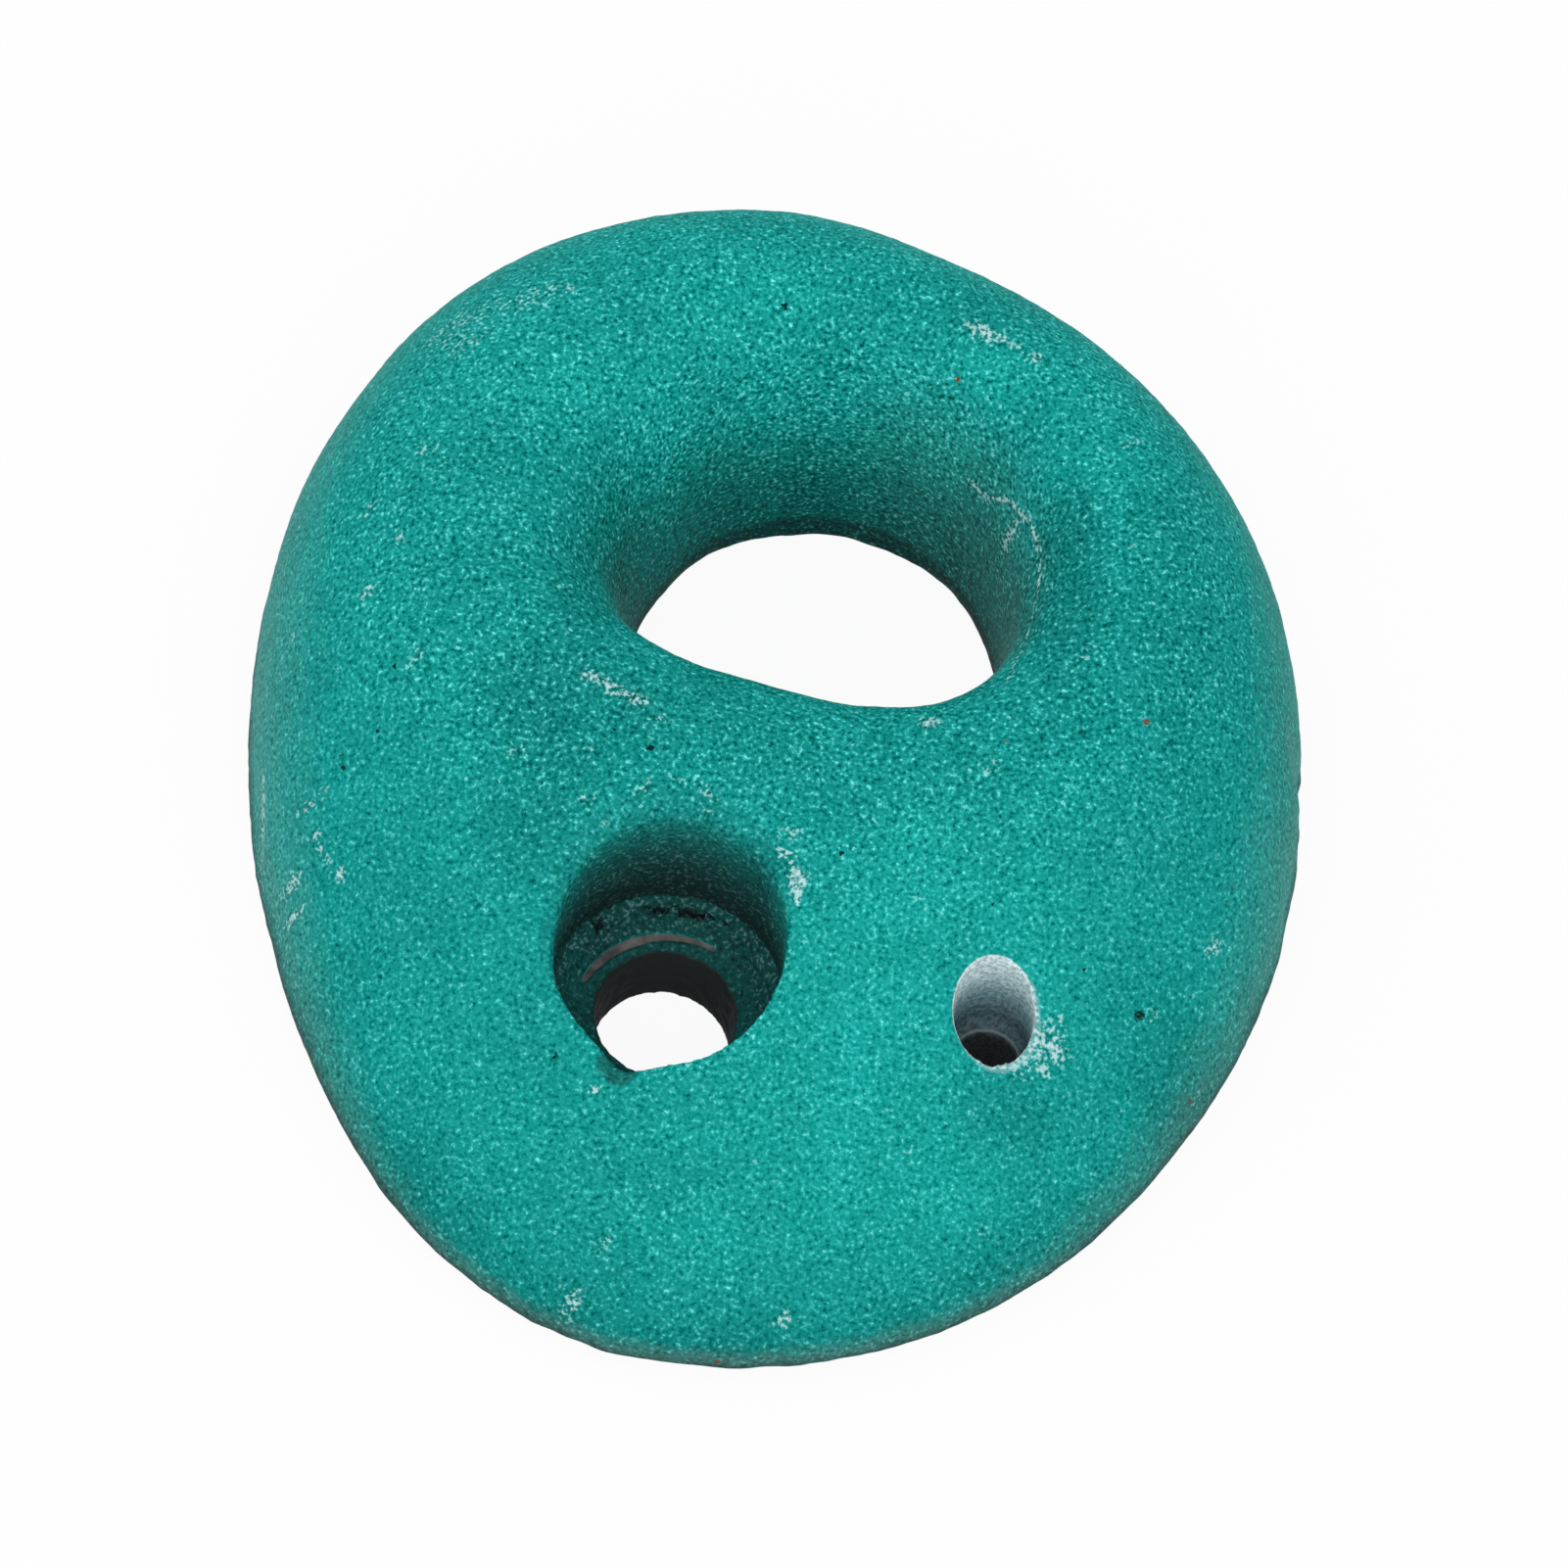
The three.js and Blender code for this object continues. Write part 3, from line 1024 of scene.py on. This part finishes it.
# %% Grain
resin, tree, shader = new_material("sand_filled_resin")
shader.inputs["Roughness"].default_value = 0.6
shader.inputs["Specular IOR Level"].default_value = 0.02
GRAIN_SCALE = 2650
BLOTCH_SCALE = 110
place = object_place(tree)
grain = speckle(tree, place, GRAIN_SCALE, detail=1.6, roughness=0.55)
# The brightest stops are painted highlights of glinting grains, the darkest painted shade in small pits
grain_tones = [
    (0.22, (0.0, 0.070, 0.060)), (0.30, (0.0, 0.130, 0.116)), (0.37, (0.001, 0.215, 0.192)),
    (0.44, (0.004, 0.295, 0.265)), (0.50, (0.008, 0.330, 0.298)), (0.56, (0.014, 0.372, 0.338)),
    (0.62, (0.028, 0.480, 0.440)), (0.68, (0.068, 0.660, 0.615)), (0.75, (0.19, 0.90, 0.86)),
]
calm = painted(tree, "calm")
contrast = remap(tree, calm, -1.0, 1.0, 1.20, 0.83)
from_middle = combine_values(tree, "SUBTRACT", grain, 0.5)
values = {0: from_middle, 1: contrast, 2: 0.5}
shown_grain = add_node(tree, "Math", values, operation="MULTIPLY_ADD")
colour = colour_stops(tree, shown_grain, grain_tones)
blotches = remap(tree, speckle(tree, place, BLOTCH_SCALE, detail=3), 0.35, 0.65, 0.93, 1.07)
colour = mix_colours(tree, 1.0, colour, blotches, "MULTIPLY")

# %% Glints and pores
JITTER_SCALE = 2300
JITTER_REACH = 0.5 * MM
PORE_SHADE_COLOUR = (0.0, 0.05, 0.045, 1)


def scattered_dots(tree, place, scale, rarity, largest):
    """One round dot in some cells: rarity is the share of cells left empty."""
    cells = tree.nodes.new("ShaderNodeTexVoronoi")
    cells.inputs["Scale"].default_value = scale
    tree.links.new(place, cells.inputs["Vector"])
    size = remap(tree, cells.outputs["Color"], rarity, 1.0, 0.0, largest)
    return combine_values(tree, "LESS_THAN", cells.outputs["Distance"], size)


values = {"Vector": place, "Scale": JITTER_SCALE, "Detail": 1.0}
jitter = add_node(tree, "TexNoise", values, output="Color")
jitter = add_node(tree, "VectorMath", {0: jitter, 1: (0.5, 0.5, 0.5)}, operation="SUBTRACT")
jitter = add_node(tree, "VectorMath", {0: jitter, "Scale": JITTER_REACH}, operation="SCALE")
jittered = add_node(tree, "VectorMath", {0: place, 1: jitter}, operation="ADD")
# Glints are painted highlights: bright dots for grains that catch the light. Pores are painted shade:
# dark dots for small pits
glints = scattered_dots(tree, jittered, scale=760, rarity=0.50, largest=0.19)
pores = scattered_dots(tree, jittered, scale=420, rarity=0.45, largest=0.10)
colour = mix_colours(tree, combine_values(tree, "MULTIPLY", pores, 0.75), colour, PORE_SHADE_COLOUR)

# %% [markdown]
# ## Tone and shading, dust and sheen, dirt and shade, and chalk
# Four finishes lie over the resin, each from its painted attribute. Tone and shading lightens and
# darkens whole areas: partly the resin's own tone, partly painted light and shade. Dust and sheen is a
# thin grey film: fine dust with a painted sheen. Dirt and shade darkens the bore and the edge's foot:
# some dirt, with painted shade in the bore and a painted shadow at the foot. Chalk catches on the proud
# grains, so its soft marks are broken up by the grain itself.

# %% Tone with painted shading, and dust with painted sheen
GLINT_COLOUR = (0.21, 0.82, 0.78, 1)
DUST_AND_SHEEN_COLOUR = (0.50, 0.46, 0.42, 1)
# Tone and shading scales the colour: the resin's own tone with painted light and shade. Grains that
# catch the light are partly spared it, a painted highlight
tone_and_shading = combine_values(tree, "ADD", painted(tree, "tone_and_shading"), 1.0)
catches_light = remap(tree, grain, 0.58, 0.72, 0.0, 0.5)
grain_tone_and_shading = add_node(tree, "Mix", {0: catches_light, 2: tone_and_shading, 3: 1.0})
colour = mix_colours(tree, 1.0, colour, grain_tone_and_shading, "MULTIPLY")
# The glints are painted highlights, dimmer where the tone and shading is dark
glint_shade = remap(tree, tone_and_shading, 0.2, 1.0, 0.5, 1.0)
glint_colour = mix_colours(tree, 1.0, GLINT_COLOUR, glint_shade, "MULTIPLY")
glint_strength = remap(tree, calm, 0.0, 1.0, 0.8, 0.5)
glint_amount = combine_values(tree, "MULTIPLY", glints, glint_strength)
colour = mix_colours(tree, glint_amount, colour, glint_colour)
# A grey film: fine dust with a painted sheen on steep skin
dust_and_sheen_catch = remap(tree, grain, 0.3, 0.7, 0.06, 0.21)
dust_and_sheen = combine_values(tree, "MULTIPLY", painted(tree, "dust_and_sheen"), dust_and_sheen_catch)
colour = mix_colours(tree, dust_and_sheen, colour, DUST_AND_SHEEN_COLOUR)

# %% Dirt with painted shade, and chalk
DIRT_AND_SHADE_COLOUR = (0.013, 0.017, 0.018, 1)
FLAKE_SCALE = 2400
# Dirt and painted shade: the bore's dirt with the shade of its hollows, and a painted shadow at the
# foot
dirt_and_shade = painted(tree, "dirt_and_shade")
colour = mix_colours(tree, dirt_and_shade, colour, DIRT_AND_SHADE_COLOUR)
clean_and_lit = remap(tree, dirt_and_shade, 0.0, 0.9, 1.0, 0.17)
ragged = speckle(tree, place, FLAKE_SCALE, detail=2, distortion=0.4)
flakes = add_node(tree, "Mix", {0: 0.4, 2: grain, 3: ragged})
# Chalk marks, and in the bore chalk flecks with painted glints
chalk_and_glints = painted(tree, "chalk_and_glints")
here = combine_values(tree, "MULTIPLY", remap(tree, chalk_and_glints, 0.02, 0.9, 0.1, 1.0), clean_and_lit)
chalk_and_glints = combine_values(tree, "ADD", combine_values(tree, "MULTIPLY", chalk_and_glints, 0.18), flakes)
chalk_and_glints = remap(tree, chalk_and_glints, 0.60, 0.66)
chalk_and_glints = combine_values(tree, "MULTIPLY", chalk_and_glints, here)
chalk_stops = [(0.40, (0.12, 0.42, 0.41)), (0.50, (0.34, 0.60, 0.60)), (0.64, (0.58, 0.86, 0.87))]
chalk_colour = colour_stops(tree, grain, chalk_stops)
colour = mix_colours(tree, chalk_and_glints, colour, chalk_colour)

# %% [markdown]
# ## Drilled stone and the two holes
# The drill has laid bare the pale filler inside the resin. The screw hole's wall is whitest at the
# mouth and painted darker towards the bottom, a painted shade, ringed by the drill further down, and
# its mouth has a ragged white rim, widest on the lower right. The edge of its step carries a painted
# highlight. The through hole's wall is painted dark, a painted shade.

# %% Distances from upright axes
flat_place = add_node(tree, "VectorMath", {0: place, 1: (1, 1, 0)}, operation="MULTIPLY")
split = tree.nodes.new("ShaderNodeSeparateXYZ")
tree.links.new(place, split.inputs[0])
height = split.outputs["Z"]


def axis_distance(tree, axis, stretch=1.0):
    """Distance from an upright axis, where stretch makes a long round shape along Y."""
    values = {0: flat_place, 1: (axis.x, axis.y, 0)}
    away = add_node(tree, "VectorMath", values, operation="SUBTRACT")
    away = add_node(tree, "VectorMath", {0: away, 1: (1, 1 / stretch, 1)}, operation="MULTIPLY")
    return add_node(tree, "VectorMath", {0: away}, output="Value", operation="LENGTH")


# %% The screw hole's wall
# The wall's colour by height: the pale filler is painted darker towards the bottom, a painted shade
stone_and_shade_stops = [
    (0.0, (0.085, 0.095, 0.10)), (0.06, (0.13, 0.19, 0.21)), (0.25, (0.16, 0.26, 0.29)),
    (0.45, (0.24, 0.39, 0.43)), (0.62, (0.40, 0.56, 0.60)), (0.82, (0.64, 0.80, 0.83)),
    (1.0, (0.70, 0.86, 0.88)),
]
RING_PITCH = 1.15 * MM
stone_and_shade = colour_stops(tree, remap(tree, height, 7 * MM, 18 * MM), stone_and_shade_stops)
turns = combine_values(tree, "MULTIPLY", height, math.tau / RING_PITCH)
rings = add_node(tree, "Math", {0: turns}, operation="SINE")
rings = remap(tree, rings, 0.6, 1.0, 1.0, 1.25)
deep = remap(tree, height, 13.0 * MM, 11.5 * MM)
rings = add_node(tree, "Mix", {0: deep, 2: 1.0, 3: rings})
stone_and_shade = mix_colours(tree, 1.0, stone_and_shade, rings, "MULTIPLY")
stone_and_shade = mix_colours(tree, 1.0, stone_and_shade, remap(tree, grain, 0.35, 0.65, 0.65, 1.35), "MULTIPLY")

# %% The edge of the screw hole's step
# A painted highlight along the edge of the step
STEP_HIGHLIGHT = (0.5, 0.58, 0.6, 1)
inner_lip = remap(tree, axis_distance(tree, drill_axis), 3.1 * MM, 2.95 * MM)
above_step = remap(tree, height, 7.4 * MM, 7.6 * MM)
step_edge = combine_values(tree, "MULTIPLY", inner_lip, above_step)
stone_and_shade = mix_colours(tree, combine_values(tree, "MULTIPLY", step_edge, 0.6), stone_and_shade, STEP_HIGHLIGHT)

# %% Its mouth and the through hole
THROUGH_HOLE_SHADE = (0.034, 0.038, 0.040, 1)
mouth_axis = drill_axis + Vector((0.34, -0.34, 0)) * MM
from_mouth = axis_distance(tree, mouth_axis, MOUTH_STRETCH)
mouth = combine_values(tree, "ADD", from_mouth, combine_values(tree, "MULTIPLY", flakes, 1.3 * MM))
mouth = remap(tree, mouth, 4.40 * MM, 4.22 * MM)
colour = mix_colours(tree, mouth, colour, chalk_colour)
from_screw = axis_distance(tree, drill_axis, MOUTH_STRETCH)
inside_screw = remap(tree, from_screw, 3.64 * MM, 3.56 * MM)
colour = mix_colours(tree, inside_screw, colour, stone_and_shade)
# The through hole's wall is painted dark, a painted shade
near_axis = remap(tree, axis_distance(tree, bolt_axis), 6.35 * MM, 6.15 * MM)
below_collar = remap(tree, height, 6.6 * MM, 6.2 * MM)
in_through_hole = combine_values(tree, "MULTIPLY", near_axis, below_collar)
colour = mix_colours(tree, in_through_hole, colour, THROUGH_HOLE_SHADE)

# %% [markdown]
# ## Specks
# A few single grains stand out on the real hold: rust-brown ones and black holes where a grain fell
# out, whose black is painted shade. Each is a small ball of colour at its own place, which needs no
# painting on the mesh.

# %% Brown and black specks
# Each speck: right, up, height, radius and colour
BROWN = (0.22, 0.07, 0.03, 1)
# The black of the holes is painted shade
HOLE_SHADE = (0.003, 0.026, 0.025, 1)
specks = [
    (2.6, 59.2, 28.9, 0.4, HOLE_SHADE), (2.6, 59.15, 29, 0.22, BROWN), (18.5, 55.1, 26.7, 0.25, BROWN),
    (37.7, 23.8, 24.9, 0.25, BROWN), (25.9, 19.8, 24.9, 0.26, BROWN), (40.1, 1.8, 12.9, 0.56, HOLE_SHADE),
    (40.2, 1.7, 12.8, 0.2, BROWN), (45.3, -1.4, 5.2, 0.5, BROWN), (8, -30.1, 1.9, 0.3, BROWN),
    (42.6, 40.6, 25.1, 0.22, HOLE_SHADE), (-8.6, -9.4, 13.7, 0.3, HOLE_SHADE), (-26.6, 21.1, 23.1, 0.22, HOLE_SHADE),
    (-27.2, 16.3, 20.1, 0.2, HOLE_SHADE), (-30.2, 15.1, 17.4, 0.28, HOLE_SHADE),
    (-29.9, 14.1, 17.1, 0.25, HOLE_SHADE), (-26.6, 6, 15.1, 0.26, HOLE_SHADE), (-3.8, 15.2, 24.7, 0.3, HOLE_SHADE),
    (-7.2, 16.3, 25.2, 0.2, HOLE_SHADE), (26.4, 6.6, 20.4, 0.2, HOLE_SHADE), (13.2, 8.6, 22.2, 0.22, HOLE_SHADE),
    (35, 3.6, 16.8, 0.2, HOLE_SHADE),
]
uneven = remap(tree, ragged, 0.3, 0.7, -0.25 * MM, 0.25 * MM)
for x, y, z, radius, speck_colour in specks:
    values = {0: place, 1: (x * MM, y * MM, z * MM)}
    away = add_node(tree, "VectorMath", values, output="Value", operation="DISTANCE")
    away = combine_values(tree, "ADD", away, uneven)
    inside = remap(tree, away, radius * MM, 0.6 * radius * MM)
    colour = mix_colours(tree, inside, colour, speck_colour)
tree.links.new(colour, shader.inputs["Base Color"])

# %% Bump, and the finished casting
relief = combine_values(tree, "ADD", grain, combine_values(tree, "MULTIPLY", chalk_and_glints, 0.8))
bump_values = {"Strength": 0.5, "Distance": 0.09 * MM, "Height": relief}
tree.links.new(add_node(tree, "Bump", bump_values), shader.inputs["Normal"])
casting.data.materials.clear()
casting.data.materials.append(resin)
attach(casting, "root")
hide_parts("hold_body")

# %% [markdown]
# ## The washer
# The washer's node already has the true shape, and only an arc of it shows, so it keeps its mesh
# and gets a finish: dull steel, stained grey and brown, and slightly pitted.

# %% Worn steel
steel, tree, shader = new_material("worn_steel")
shader.inputs["Metallic"].default_value = 0.35
place = object_place(tree)
stain = speckle(tree, place, 700, detail=4)
steel_stops = [(0.35, (0.095, 0.09, 0.086)), (0.65, (0.27, 0.25, 0.24))]
steel_colour = colour_stops(tree, stain, steel_stops)
tree.links.new(steel_colour, shader.inputs["Base Color"])
tree.links.new(remap(tree, stain, 0.3, 0.7, 0.45, 0.75), shader.inputs["Roughness"])
bump_values = {"Strength": 0.3, "Distance": 0.05 * MM, "Height": stain}
tree.links.new(add_node(tree, "Bump", bump_values), shader.inputs["Normal"])
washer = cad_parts["bolt_washer"]
washer.data.materials.clear()
washer.data.materials.append(steel)

# %% [markdown]
# ## Floor and light
# The hold lies on its flat back. The floor is pale paper that fades to white for the camera but
# keeps the soft shadow. Nearly all the light is an even sky, as in a light tent, with one large
# softbox low at the front and a weaker one high at the back left.

# %% Floor
paper, tree, shader = new_material("pale_paper")
tree.nodes.remove(shader)


def background_rays(tree):
    ray = tree.nodes.new("ShaderNodeLightPath")
    seen = combine_values(tree, "MAXIMUM", ray.outputs["Is Camera Ray"], ray.outputs["Is Glossy Ray"])
    return combine_values(tree, "MAXIMUM", seen, ray.outputs["Is Transmission Ray"])


def mix_shaders(tree, amount, under, over):
    return add_node(tree, "MixShader", {0: amount, 1: under, 2: over})


matt = add_node(tree, "BsdfDiffuse", {"Color": (0.6, 0.6, 0.6, 1)})
bright = add_node(tree, "BsdfDiffuse", {"Color": (0.95, 0.95, 0.95, 1)})
glow = add_node(tree, "Emission", {"Color": (1, 1, 1, 1), "Strength": 1.0})
shown = mix_shaders(tree, 0.93, bright, glow)
surface = mix_shaders(tree, background_rays(tree), matt, shown)
tree.links.new(surface, tree.nodes["Material Output"].inputs["Surface"])

floor_shape = bmesh.new()
bmesh.ops.create_grid(floor_shape, x_segments=1, y_segments=1, size=3)
bmesh.ops.translate(floor_shape, verts=floor_shape.verts, vec=(0, 0, -0.05 * MM))
floor = make_object("floor", floor_shape)
floor.data.materials.append(paper)

# %% Sky and softboxes
world = bpy.data.worlds.new("light_tent")
world.use_nodes = True
scene.world = world
tree = world.node_tree
tent = tree.nodes["Background"]
tent.inputs["Color"].default_value = (1, 1, 1, 1)
tent.inputs["Strength"].default_value = 0.66
backdrop = add_node(tree, "Background", {"Color": (1, 1, 1, 1), "Strength": 1.0})
sky = mix_shaders(tree, background_rays(tree), tent.outputs[0], backdrop)
tree.links.new(sky, tree.nodes["World Output"].inputs["Surface"])


def add_softbox(name, azimuth, elevation, distance, size, power):
    lamp = bpy.data.lights.new(name, "AREA")
    lamp.shape = "DISK"
    lamp.size = size
    lamp.energy = power
    box = bpy.data.objects.new(name, lamp)
    scene.collection.objects.link(box)
    turn, rise = math.radians(azimuth), math.radians(elevation)
    away = Vector((math.cos(turn) * math.cos(rise), math.sin(turn) * math.cos(rise), math.sin(rise)))
    box.location = aim + away * distance
    box.rotation_mode = "QUATERNION"
    box.rotation_quaternion = (-away).to_track_quat("-Z", "Y")


add_softbox("front_softbox", azimuth=270, elevation=50, distance=1.2, size=1.0, power=4.4)
add_softbox("back_softbox", azimuth=135, elevation=50, distance=1.2, size=1.0, power=1.5)
scene.view_settings.view_transform = "Standard"
